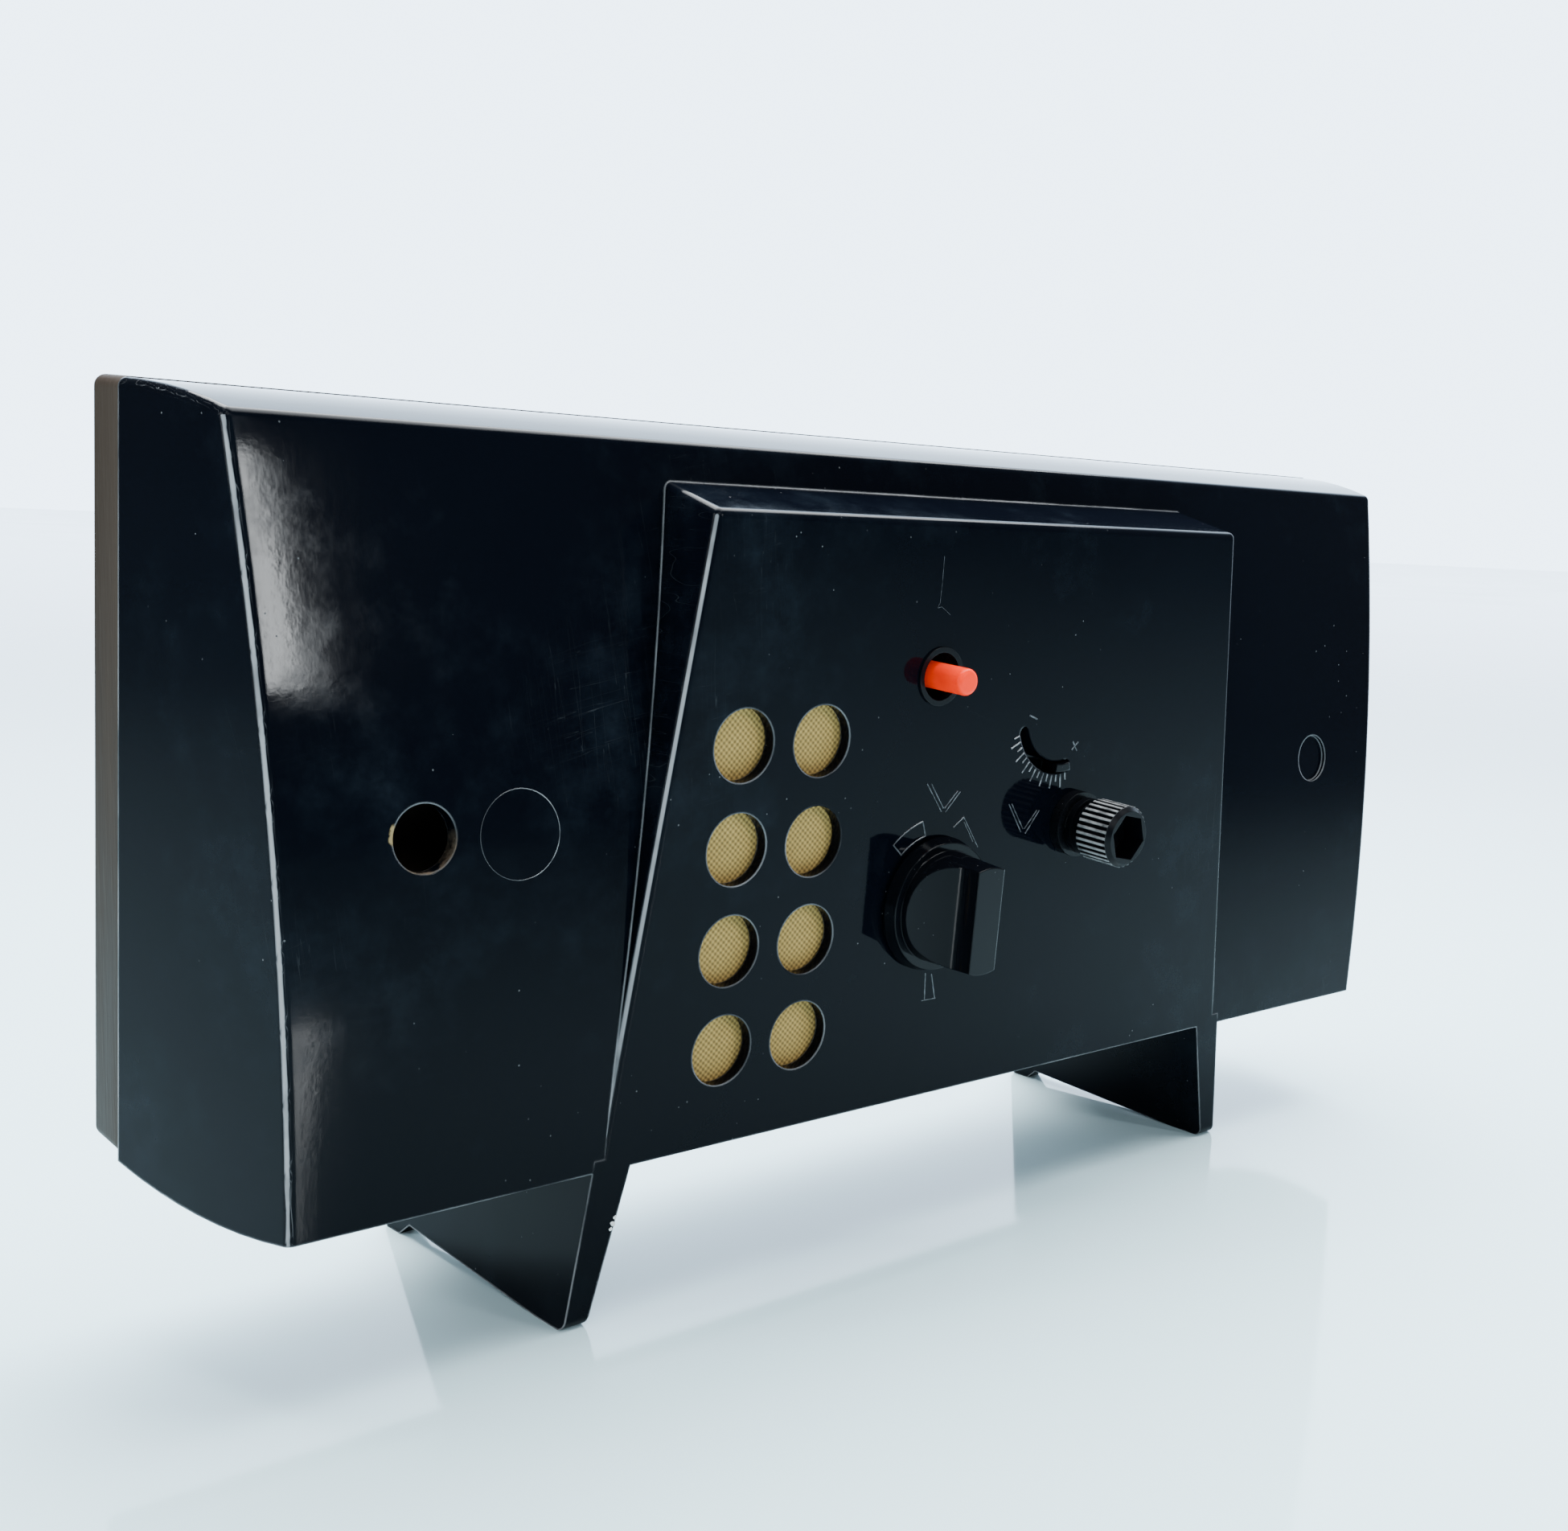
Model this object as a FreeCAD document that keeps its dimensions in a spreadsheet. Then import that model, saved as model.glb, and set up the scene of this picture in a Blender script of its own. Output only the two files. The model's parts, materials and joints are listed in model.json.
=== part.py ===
import FreeCAD, Part
import math
import os

import Sketcher
from FreeCAD import Rotation, Vector

# Tabletop radio. X runs along the cabinet, Y points from the control panel into the cabinet and
# +Z is up. The origin is the bottom centre of the whole object's box. Millimetres.
# The parts are drawn with the control panel upright, its plane at Y = 0, and are then leaned
# together towards the panel side, the way the radio stands on its legs.

SIZES = {
    # cabinet
    "panel_y": 0.0,             # front plane of the raised panel, before leaning
    "foot_fall": 0.0699,        # drop of the standing line per unit of depth, before leaning
    "stand_y": -20.2,           # puts the middle of the leaned radio's depth at the origin
    "case_width": 298.0,
    "case_bottom": 27.9,        # lower edge of the front face
    "case_top": 148.0,          # upper edge of the front face
    "seam_depth": 39.7,         # panel plane to the joint with the rear cover
    "seam_bottom": 29.3,
    "seam_top": 150.9,
    "face_lean": 16.9,          # how far the upper edge lies behind the lower one
    "face_radius": 560.0,
    "top_radius": 90.0,
    "underside_radius": 88.0,
    "front_half": 138.9,        # half width at the panel plane, before the sides flare out
    "wall": 2.5,
    "arris": 1.4,
    # raised control panel
    "panel_top": 138.4,
    "panel_top_half": 68.9,
    "panel_bottom_half": 84.5,
    "panel_lip": 3.0,           # rise of the panel's top surface towards the face
    "panel_reach": 22.0,
    # legs
    "leg_root": 30.0,
    "leg_reach": 61.0,
    "leg_top_out": 85.2,
    "leg_top_in": 77.3,
    "leg_foot_out": 90.5,       # at leg_tip below the panel's standing line
    "leg_foot_in": 86.5,
    "leg_tip": -6.0,
    "toe_length": 7.5,
    "toe_round": 2.2,
    "arch_depth": 52.5,
    "arch_height": 2.5,
    "heel_start": 55.5,
    "leg_rear_root": 51.5,
    # sound holes
    "hole_radius": 6.4,
    "hole_left": -59.8,
    "hole_column": 17.3,
    "hole_top": 99.4,
    "hole_row": 18.0,
    # other openings
    "lead_hole_x": -116.2,
    "lead_hole_z": 87.0,
    "lead_hole_radius": 5.35,
    "knockout_depth": 0.9,
    # screw bosses
    "boss_x": 128.0,
    "boss_low": 38.5,
    "boss_high": 139.5,
    "boss_radius": 4.0,
    "pilot_radius": 1.25,
    "screw_radius": 1.2,
    # rear cover
    "cover_depth": 10.9,
    "cover_bottom": 30.2,
    "cover_top": 151.0,
    "cover_corner": 1.8,
    "vent_length": 46.0,
    "vent_height": 2.6,
    "vent_pitch": 6.5,
    # push button
    "button_x": -15.0,
    "button_z": 110.2,
    "button_radius": 2.5,
    "button_reach": 7.6,        # how far the tip stands in front of the panel
    "bezel_radius": 5.45,
    "throat_radius": 4.43,
    # tuning drive
    "tuning_x": -11.6,
    "tuning_z": 66.9,
    "shaft_radius": 3.0,
    "running_gap": 0.06,
    "skirt_radius": 13.0,
    "knob_depth": 14.8,
    "grip_width": 6.6,
    "gear_pitch_small": 8.0,
    "gear_pitch_large": 12.0,
    "gear_thickness": 3.0,
    # volume control
    "volume_x": 26.5,
    "volume_z": 79.6,
    "drum_radius": 6.2,
    "volume_reach": 14.8,
    "socket_radius": 4.85,      # to the corners of the hexagonal recess
    # trim lever
    "trim_x": 19.9,
    "trim_z": 102.3,
    "trim_radius": 11.1,
    "slot_half": 1.25,
    # speaker
    "speaker_x": -46.0,
    "speaker_z": 72.4,
    "speaker_radius": 30.0,
    # circuit board
    "board_x": 86.0,
    "board_z": 86.0,
    "board_width": 74.0,
    "board_height": 92.0,
    "board_y": 20.0,
    "board_thickness": 1.6,
    # aerial
    "rod_y": 30.0,
    "rod_z": 136.0,
    "rod_radius": 4.0,
    "rod_length": 130.0,
    "rod_x": 20.0,
    # battery pack
    "cell_radius": 7.2,
    "cell_length": 50.0,
    "cell_pitch": 15.6,
    "pack_x": -108.0,
    "pack_z": 86.0,
    "pack_y": 32.0,
}
TEETH_SMALL = 20
TEETH_LARGE = 30
GEAR_ANGLE = -50.0      # direction from the tuning shaft to the capacitor shaft, seen from the front
SLOT_START = -160.0     # ends of the trim slot and the lever's rest place, measured the same way
SLOT_END = -77.0
TRIM_REST = -85.5
TRIM_SWING = 64.0       # how far the lever turns towards the start of its slot
SOCKET_TURN = -11.0     # direction of one corner of the volume knob's recess

doc = FreeCAD.newDocument("tabletop_radio")
dims = doc.addObject("Spreadsheet::Sheet", "dims")
for row, (alias, value) in enumerate(SIZES.items(), start=1):
    dims.set("A%d" % row, alias)
    dims.set("B%d" % row, str(value))
    dims.setAlias("B%d" % row, alias)
doc.recompute()

nodes = {}


def ref(text):
    """Expression text with each size name turned into a cell reference."""
    words = []
    for word in text.replace("(", " ( ").replace(")", " ) ").split():
        words.append("dims." + word if word in SIZES else word)
    return " ".join(words)


def size(text):
    """Present value of an expression, as a plain number."""
    value = dims.evalExpression(ref(text))
    return float(getattr(value, "Value", value))


def place(shape, x="0", y="0", z="0", axis=None, angle=0.0):
    """Position a feature; y counts from the panel plane."""
    if axis is not None:
        shape.Placement.Rotation = Rotation(Vector(*axis), angle)
    shape.setExpression("Placement.Base.x", ref(x))
    shape.setExpression("Placement.Base.y", ref("panel_y + " + y))
    shape.setExpression("Placement.Base.z", ref(z))
    return shape


def box(name, x, y, z):
    """Block between two bounds on each axis, each bound an expression."""
    block = doc.addObject("Part::Box", name)
    for side, (low, high) in zip(("Length", "Width", "Height"), (x, y, z)):
        block.setExpression(side, ref("( " + high + " ) - ( " + low + " )"))
    return place(block, "( " + x[0] + " )", "( " + y[0] + " )", "( " + z[0] + " )")


def rod(name, radius, x, z, y, sweep=360.0):
    """Cylinder along Y between two depths."""
    bar = doc.addObject("Part::Cylinder", name)
    bar.setExpression("Radius", ref(radius))
    bar.setExpression("Height", ref("( " + y[1] + " ) - ( " + y[0] + " )"))
    bar.Angle = sweep
    return place(bar, x, "( " + y[0] + " )", z, (1, 0, 0), -90)


def rod_x(name, radius, x, y, z):
    """Cylinder along X between two places."""
    bar = doc.addObject("Part::Cylinder", name)
    bar.setExpression("Radius", ref(radius))
    bar.setExpression("Height", ref("( " + x[1] + " ) - ( " + x[0] + " )"))
    return place(bar, "( " + x[0] + " )", y, z, (0, 1, 0), 90)


def cone(name, radii, x, z, y):
    """Cone along Y, radii at the near and far ends."""
    body = doc.addObject("Part::Cone", name)
    body.setExpression("Radius1", ref(radii[0]))
    body.setExpression("Radius2", ref(radii[1]))
    body.setExpression("Height", ref("( " + y[1] + " ) - ( " + y[0] + " )"))
    return place(body, x, "( " + y[0] + " )", z, (1, 0, 0), -90)


def fuse(name, shapes):
    joined = doc.addObject("Part::MultiFuse", name)
    joined.Shapes = shapes
    return joined


def common(name, shapes):
    shared = doc.addObject("Part::MultiCommon", name)
    shared.Shapes = shapes
    return shared


def group(name, shapes):
    """Several separate solids kept together."""
    bundle = doc.addObject("Part::Compound", name)
    bundle.Links = shapes
    return bundle


def cut(name, base, tools):
    result = doc.addObject("Part::Cut", name)
    result.Base = base
    result.Tool = tools[0] if len(tools) == 1 else fuse(name + "_tools", tools)
    return result


def outline(name, plane, corners, arcs=None):
    """Sketch of a closed outline on an origin plane of its own body.

    corners are pairs of expressions; arcs maps a side's number to its radius, for a side that
    bulges outwards from a counter-clockwise outline.
    """
    body = doc.addObject("PartDesign::Body", name)
    sketch = body.newObject("Sketcher::SketchObject", name + "_sketch")
    origin = [item for item in body.Origin.OriginFeatures if item.Role == plane][0]
    sketch.AttachmentSupport = (origin, "")
    sketch.MapMode = "FlatFace"
    points = [Vector(size(x), size(y), 0) for x, y in corners]
    arcs = arcs or {}
    for side, start in enumerate(points):
        end = points[(side + 1) % len(points)]
        if side in arcs:
            sketch.addGeometry(bulged(start, end, size(arcs[side])), False)
        else:
            sketch.addGeometry(Part.LineSegment(start, end), False)
    for side in range(len(points)):
        following = (side + 1) % len(points)
        sketch.addConstraint(Sketcher.Constraint("Coincident", side, 2, following, 1))
    for side, (x, y) in enumerate(corners):
        for kind, text, value in (("DistanceX", x, points[side].x), ("DistanceY", y, points[side].y)):
            number = sketch.addConstraint(Sketcher.Constraint(kind, -1, 1, side, 1, value))
            sketch.setExpression("Constraints[%d]" % number, ref(text))
    for side, radius in arcs.items():
        number = sketch.addConstraint(Sketcher.Constraint("Radius", side, size(radius)))
        sketch.setExpression("Constraints[%d]" % number, ref(radius))
    return body, sketch


def bulged(start, end, radius):
    """Arc from start to end, counter-clockwise, with its bulge on the right of the walk."""
    chord = end - start
    middle = (start + end) * 0.5
    left = Vector(-chord.y, chord.x, 0).normalize()
    centre = middle + left * math.sqrt(radius ** 2 - (chord.Length / 2) ** 2)
    circle = Part.Circle(centre, Vector(0, 0, 1), radius)
    return Part.ArcOfCircle(circle, circle.parameter(start), circle.parameter(end))


def extrude(body, sketch, length, midplane=False, reverse=False):
    pad = body.newObject("PartDesign::Pad", body.Name + "_pad")
    pad.Profile = sketch
    pad.setExpression("Length", ref(length))
    pad.Midplane = midplane
    pad.Reversed = reverse
    return pad


def front_prism(name, corners, y, arcs=None):
    """Front-view outline extruded between two depths."""
    body, sketch = outline(name, "XZ_Plane", corners, arcs)
    extrude(body, sketch, "( " + y[1] + " ) - ( " + y[0] + " )", reverse=True)
    return place(body, y="( " + y[0] + " )")


def side_prism(name, corners, x, arcs=None):
    """Side-view outline, in depth and height, extruded symmetrically about X = 0 or from x[0]."""
    body, sketch = outline(name, "YZ_Plane", corners, arcs)
    if x is None:
        extrude(body, sketch, "case_width + 4", midplane=True)
        return place(body)
    extrude(body, sketch, "( " + x[1] + " ) - ( " + x[0] + " )")
    return place(body, x="( " + x[0] + " )")


def plan_prism(name, corners):
    """Plan outline extruded over the cabinet's height."""
    body, sketch = outline(name, "XY_Plane", corners)
    extrude(body, sketch, "seam_top + 20")
    return place(body)


def lean():
    """Placement that stands the upright design on its legs."""
    tilt = math.degrees(math.atan(size("foot_fall")))
    return FreeCAD.Placement(Vector(0, size("stand_y"), 0), Rotation(Vector(1, 0, 0), tilt))


def keep(name, shape):
    """Register a finished sub-part under its own name, leaned with the rest."""
    leaned = shape if shape.TypeId == "Part::Compound" else group(name, [shape])
    leaned.Placement = lean()
    leaned.Label = name
    nodes[name] = leaned
    return leaned


# ---------------------------------------------------------------- cabinet

def soften(name, block, radius, wanted):
    """Round the edges of a block for which wanted(edge) holds."""
    doc.recompute()
    rounded = doc.addObject("Part::Fillet", name)
    rounded.Base = block
    rounded.Edges = [
        (number, radius, radius)
        for number, edge in enumerate(block.Shape.Edges, start=1)
        if wanted(edge)
    ]
    return rounded


def depth_of(edge):
    """Least and greatest depth of an edge's ends behind the panel plane."""
    depths = [vertex.Point.y - size("panel_y") for vertex in edge.Vertexes]
    return min(depths), max(depths)


def height_of(edge):
    """Least and greatest height of an edge's ends."""
    heights = [vertex.Point.z for vertex in edge.Vertexes]
    return min(heights), max(heights)


def case_arris(edge):
    """Edges round the cabinet face and along its top, but not the seam or the underside."""
    if depth_of(edge)[0] > size("seam_depth") - 0.1:
        return False
    return height_of(edge)[1] > size("case_bottom") + 10


def panel_arris(edge):
    """Front edges and sloping top edges of the raised panel, but not its foot."""
    if depth_of(edge)[0] > 1:
        return False
    return height_of(edge)[1] > size("case_bottom") + 1


def case_block(name, inset, back):
    """Pillow-shaped cabinet block, inset on every side but the back."""
    side = side_prism(
        name + "_side",
        [
            (back, "seam_bottom + " + inset),
            (back, "seam_top - " + inset),
            ("face_lean + " + inset, "case_top - " + inset),
            (inset, "case_bottom + " + inset),
        ],
        None,
        {1: "top_radius", 2: "face_radius", 3: "underside_radius"},
    )
    flare = "( case_width / 2 - front_half ) / seam_depth"
    wide = "front_half - " + inset + " + ( seam_depth + 2 ) * " + flare
    plan = plan_prism(
        name + "_plan",
        [
            ("0 - ( front_half - " + inset + " - 2 * " + flare + " )", "-2"),
            ("front_half - " + inset + " - 2 * " + flare, "-2"),
            (wide, "seam_depth + 2"),
            ("0 - ( " + wide + " )", "seam_depth + 2"),
        ],
    )
    return common(name, [side, plan])


def panel_block(name, inset, y):
    """Raised trapezoid panel; its top surface rises towards the cabinet face."""
    trapezoid = front_prism(
        name + "_front",
        [
            ("0 - panel_bottom_half + " + inset, "case_bottom + 3 * " + inset),
            ("panel_bottom_half - " + inset, "case_bottom + 3 * " + inset),
            ("panel_top_half - 1 - " + inset, "panel_top + 7"),
            ("0 - panel_top_half + 1 + " + inset, "panel_top + 7"),
        ],
        y,
    )
    slope = side_prism(
        name + "_slope",
        [
            ("-1", "case_bottom - 5"),
            ("panel_reach + 5", "case_bottom - 5"),
            ("panel_reach + 5", "panel_top - " + inset + " + panel_lip * ( panel_reach + 5 ) / 14"),
            ("-1", "panel_top - " + inset + " - panel_lip / 14"),
        ],
        None,
    )
    return common(name, [trapezoid, slope])


def leg(side, name):
    """Splayed leg plate with a toe, a shallow arch and a heel."""
    front = front_prism(
        name + "_front",
        [
            (side + " * leg_foot_in", "leg_tip"),
            (side + " * leg_foot_out", "leg_tip"),
            (side + " * leg_top_out", "leg_root"),
            (side + " * leg_top_in", "leg_root"),
        ] if side == "1" else [
            (side + " * leg_foot_out", "leg_tip"),
            (side + " * leg_foot_in", "leg_tip"),
            (side + " * leg_top_in", "leg_root"),
            (side + " * leg_top_out", "leg_root"),
        ],
        ("0", "leg_reach"),
    )
    profile = side_prism(
        name + "_profile",
        [
            ("0", "toe_round"),
            ("toe_round", "0 - foot_fall * toe_round"),
            ("toe_length", "0 - foot_fall * toe_length"),
            ("arch_depth", "arch_height - foot_fall * arch_depth"),
            ("heel_start", "0 - foot_fall * heel_start"),
            ("leg_reach - 1", "0 - foot_fall * ( leg_reach - 1 )"),
            ("leg_reach", "1 - foot_fall * leg_reach"),
            ("leg_rear_root", "leg_root"),
            ("0", "leg_root"),
        ],
        None,
        {0: "toe_round"},
    )
    return common(name, [front, profile])


def sound_holes():
    holes = []
    for column in range(2):
        for line in range(4):
            x = "hole_left + %d * hole_column" % column
            z = "hole_top - %d * hole_row" % line
            holes.append(rod("sound_hole_%d_%d" % (column, line), "hole_radius", x, z, ("-1", "wall + 1")))
    return holes


def arc_band(name, inner, outer, y, start, end):
    """Part of a ring about the trim lever's axis, between two directions seen from the front."""
    sector = rod(name + "_sector", outer, "trim_x", "trim_z", y, sweep=end - start)
    sector.Placement.Rotation = Rotation(Vector(0, -1, 0), end).multiply(Rotation(Vector(1, 0, 0), -90))
    core = rod(name + "_core", inner, "trim_x", "trim_z", ("( " + y[0] + " ) - 1", "( " + y[1] + " ) + 1"))
    return cut(name, sector, [core])


def at_angle(degrees, radius):
    """Expressions for the place at a direction and radius from the trim lever's axis."""
    turn = math.radians(degrees)
    x = "trim_x + ( " + radius + " ) * %.6f" % math.cos(turn)
    z = "trim_z + ( " + radius + " ) * %.6f" % math.sin(turn)
    return x, z


def trim_slot():
    depth = ("-1", "wall + 1")
    low, high = "trim_radius - slot_half", "trim_radius + slot_half"
    pieces = [arc_band("trim_slot", low, high, depth, SLOT_START, SLOT_END)]
    for name, angle in (("slot_first_end", SLOT_START), ("slot_last_end", SLOT_END)):
        x, z = at_angle(angle, "trim_radius")
        pieces.append(rod(name, "slot_half", x, z, depth))
    return pieces


def face_place(height):
    """Depth of the leaning face behind the panel plane at a height, and its tilt in degrees."""
    low = Vector(0, size("case_bottom"), 0)
    high = Vector(size("face_lean"), size("case_top"), 0)
    radius = size("face_radius")
    chord = high - low
    inward = Vector(chord.y, -chord.x, 0).normalize()
    centre = (low + high) * 0.5 + inward * math.sqrt(radius ** 2 - (chord.Length / 2) ** 2)
    tilt = math.asin((height - centre.y) / radius)
    return centre.x - radius * math.cos(tilt), math.degrees(tilt)


def wing_bore(name, x, start, length):
    """Round hole square to the leaning face, from start behind the face inwards."""
    depth, tilt = face_place(size("lead_hole_z"))
    drill = doc.addObject("Part::Cylinder", name)
    drill.setExpression("Radius", "dims.lead_hole_radius")
    drill.setExpression("Height", ref(length))
    turn = Rotation(Vector(1, 0, 0), -90 - tilt)
    mouth = Vector(size(x), size("panel_y") + depth, size("lead_hole_z"))
    drill.Placement = FreeCAD.Placement(mouth + turn.multVec(Vector(0, 0, start)), turn)
    return drill


def stud_places():
    """Screw boss centres with the depth where each boss leaves the front wall."""
    return [(side + " * boss_x", height, root)
            for side in ("-1", "1")
            for height, root in (("boss_low", "1.6"), ("boss_high", "16.2"))]


def board_places():
    """Board post centres with the depth where each post leaves the front wall."""
    reach = "( board_width / 2 - 7 )"
    rise = "( board_height / 2 - 6 )"
    return [
        ("board_x - " + reach, "board_z - " + rise, "1.4"),
        ("board_x + " + reach, "board_z - " + rise, "2.2"),
        ("board_x - " + reach, "board_z + " + rise, "1.4"),
        ("board_x + " + reach, "board_z + " + rise, "13.6"),
    ]


def front_housing():
    arris = size("arris")
    shell = fuse("case_solid", [
        soften("case_rounded", case_block("case_outer", "0", "seam_depth"), arris, case_arris),
        soften("panel_rounded", panel_block("panel_outer", "0", ("0", "panel_reach")), arris, panel_arris),
        leg("-1", "left_leg"),
        leg("1", "right_leg"),
    ])
    hollow = [
        case_block("case_inner", "wall", "seam_depth + 1"),
        panel_block("panel_inner", "wall", ("wall", "panel_reach")),
    ]
    through = ("-1", "wall + 1")
    openings = sound_holes() + trim_slot() + [
        rod("button_hole", "throat_radius + 0.5", "button_x", "button_z", through),
        rod("tuning_hole", "shaft_radius + 0.4", "tuning_x", "tuning_z", through),
        rod("volume_hole", "4.55", "volume_x", "volume_z", through),
        wing_bore("lead_hole", "lead_hole_x", -3.0, "10"),
        wing_bore("blind_recess", "0 - lead_hole_x", -3.0, "3 + knockout_depth"),
    ]
    opened = cut("case_open", shell, hollow + openings)
    posts = []
    pilots = []
    for number, (x, z, root) in enumerate(stud_places()):
        posts.append(rod("boss_%d" % number, "boss_radius", x, z, (root, "seam_depth")))
        drilled = ("seam_depth - 13", "seam_depth + 1")
        pilots.append(rod("boss_pilot_%d" % number, "pilot_radius", x, z, drilled))
    for number, (x, z, root) in enumerate(board_places()):
        posts.append(rod("post_%d" % number, "2.6", x, z, (root, "board_y")))
        pilots.append(rod("post_pilot_%d" % number, "0.9", x, z, ("board_y - 7", "board_y + 1")))
    return keep("front_housing", cut("housing", fuse("case_with_posts", [opened] + posts), pilots))


def rear_cover():
    half = "case_width / 2"
    far = "seam_depth + cover_depth"
    block = box("cover_block", ("0 - " + half, half), ("seam_depth", far), ("cover_bottom", "cover_top"))
    rounded = soften("cover_rounded", block, size("cover_corner"),
                     lambda edge: depth_of(edge)[1] > size(far) - 0.01)
    inside = box("cover_inside", ("0 - " + half + " + wall", half + " - wall"),
                 ("seam_depth - 1", far + " - wall"), ("cover_bottom + wall", "cover_top - wall"))
    tubes = []
    holes = []
    for number, (x, z, _) in enumerate(stud_places()):
        tubes.append(rod("cover_tube_%d" % number, "boss_radius", x, z, ("seam_depth", far + " - 1")))
        holes.append(rod("cover_hole_%d" % number, "1.6", x, z, ("seam_depth - 1", far + " + 1")))
    for side in ("-1", "1"):
        for line in range(8):
            middle = "( " + side + " * 66 )"
            height = "( 66 + %d * vent_pitch )" % line
            holes.append(box(
                "vent_%s_%d" % ("left" if side == "-1" else "right", line),
                (middle + " - vent_length / 2", middle + " + vent_length / 2"),
                (far + " - wall - 1", far + " + 1"),
                (height, height + " + vent_height"),
            ))
    tray = fuse("cover_tray", [cut("cover_hollow", rounded, [inside])] + tubes)
    return keep("rear_cover", cut("cover_drilled", tray, holes))


def screw(name, radius, head_radius, x, z, y, head):
    """Pan-head screw along Y whose head lies at the far end, with a driver slot."""
    shank = rod(name + "_shank", radius, x, z, y)
    cap = rod(name + "_cap", head_radius, x, z, (y[1], y[1] + " + " + head))
    slot = box(name + "_slot", ("( " + x + " ) - " + head_radius, "( " + x + " ) + " + head_radius),
               (y[1] + " + " + head + " / 2", y[1] + " + " + head + " + 1"),
               ("( " + z + " ) - 0.35", "( " + z + " ) + 0.35"))
    return cut(name, fuse(name + "_solid", [shank, cap]), [slot])


def cover_screws():
    far = "seam_depth + cover_depth"
    screws = [
        screw("cover_screw_%d" % number, "screw_radius", "2.9", x, z, ("seam_depth - 11", far), "1.6")
        for number, (x, z, _) in enumerate(stud_places())
    ]
    return keep("cover_screws", group("cover_screw_set", screws))


# ---------------------------------------------------------------- loudspeaker

def loudspeaker():
    x, z = "speaker_x", "speaker_z"
    cloth = box("cloth", ("-69.5", "-22.5"), ("wall + 0.1", "wall + 0.7"), ("36", "108"))
    keep("speaker_cloth", cloth)
    board = box("baffle_board", ("-69.5", "-22.5"), ("wall + 0.8", "wall + 5.4"), ("36", "108"))
    keep("speaker_baffle", cut("baffle", board, [rod("baffle_hole", "22", x, z, ("wall", "wall + 6"))]))
    rim = rod("basket_rim", "speaker_radius", x, z, ("8", "9.2"))
    bowl = cone("basket_bowl", ("28", "14"), x, z, ("9.2", "24"))
    plate = rod("basket_plate", "14", x, z, ("24", "25.2"))
    room = cone("basket_room", ("27", "13"), x, z, ("9.2", "24"))
    mouth = rod("basket_mouth", "22.6", x, z, ("7", "9.3"))
    throat = rod("basket_throat", "6", x, z, ("23", "26"))
    windows = []
    for number in range(4):
        window = box("basket_window_%d" % number, ("-5", "5"), ("12", "21"), ("6", "40"))
        turn = Rotation(Vector(0, 1, 0), 45 + 90 * number)
        centre = Vector(size(x), size("panel_y"), size(z))
        for path in ("Placement.Base.x", "Placement.Base.y", "Placement.Base.z"):
            window.setExpression(path, None)
        corner = Vector(-5, 12, 6)
        window.Placement = FreeCAD.Placement(centre + turn.multVec(corner), turn)
        windows.append(window)
    basket = cut("basket", fuse("basket_solid", [rim, bowl, plate]), [room, mouth, throat] + windows)
    keep("speaker_basket", basket)
    outer = cone("cone_outer", ("22", "6.5"), x, z, ("8.6", "20"))
    inner = cone("cone_inner", ("21.4", "5.9"), x, z, ("8.5", "19.9"))
    cap = rod("dust_cap", "6.4", x, z, ("19.2", "20"))
    keep("speaker_cone", fuse("cone_with_cap", [cut("cone_skin", outer, [inner]), cap]))
    keep("speaker_magnet", fuse("magnet", [
        rod("magnet_ring", "13", x, z, ("25.3", "33")),
        rod("magnet_yoke", "10.5", x, z, ("33", "35.4")),
    ]))


# ---------------------------------------------------------------- push button

def coil_spring(turns, length, radius, wire):
    """Round-wire compression spring along Y, built from short straight facets."""
    steps = 16 * turns
    sides = 6
    rings = []
    for step in range(steps + 1):
        around = 2 * math.pi * step / 16
        outward = Vector(math.cos(around), 0, math.sin(around))
        centre = outward * radius + Vector(0, length * step / steps, 0)
        rings.append([
            centre
            + outward * (wire * math.cos(2 * math.pi * side / sides))
            + Vector(0, wire * math.sin(2 * math.pi * side / sides), 0)
            for side in range(sides)
        ])

    def facet(*corners):
        return Part.Face(Part.makePolygon(list(corners) + [corners[0]]))

    faces = [facet(*rings[0]), facet(*rings[-1])]
    for near, far in zip(rings, rings[1:]):
        for side in range(sides):
            following = (side + 1) % sides
            faces.append(facet(near[side], near[following], far[following]))
            faces.append(facet(near[side], far[following], far[side]))
    shell = Part.Shell(faces)
    shell.sewShape()
    solid = Part.Solid(shell)
    return solid.reversed() if solid.Volume < 0 else solid


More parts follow.
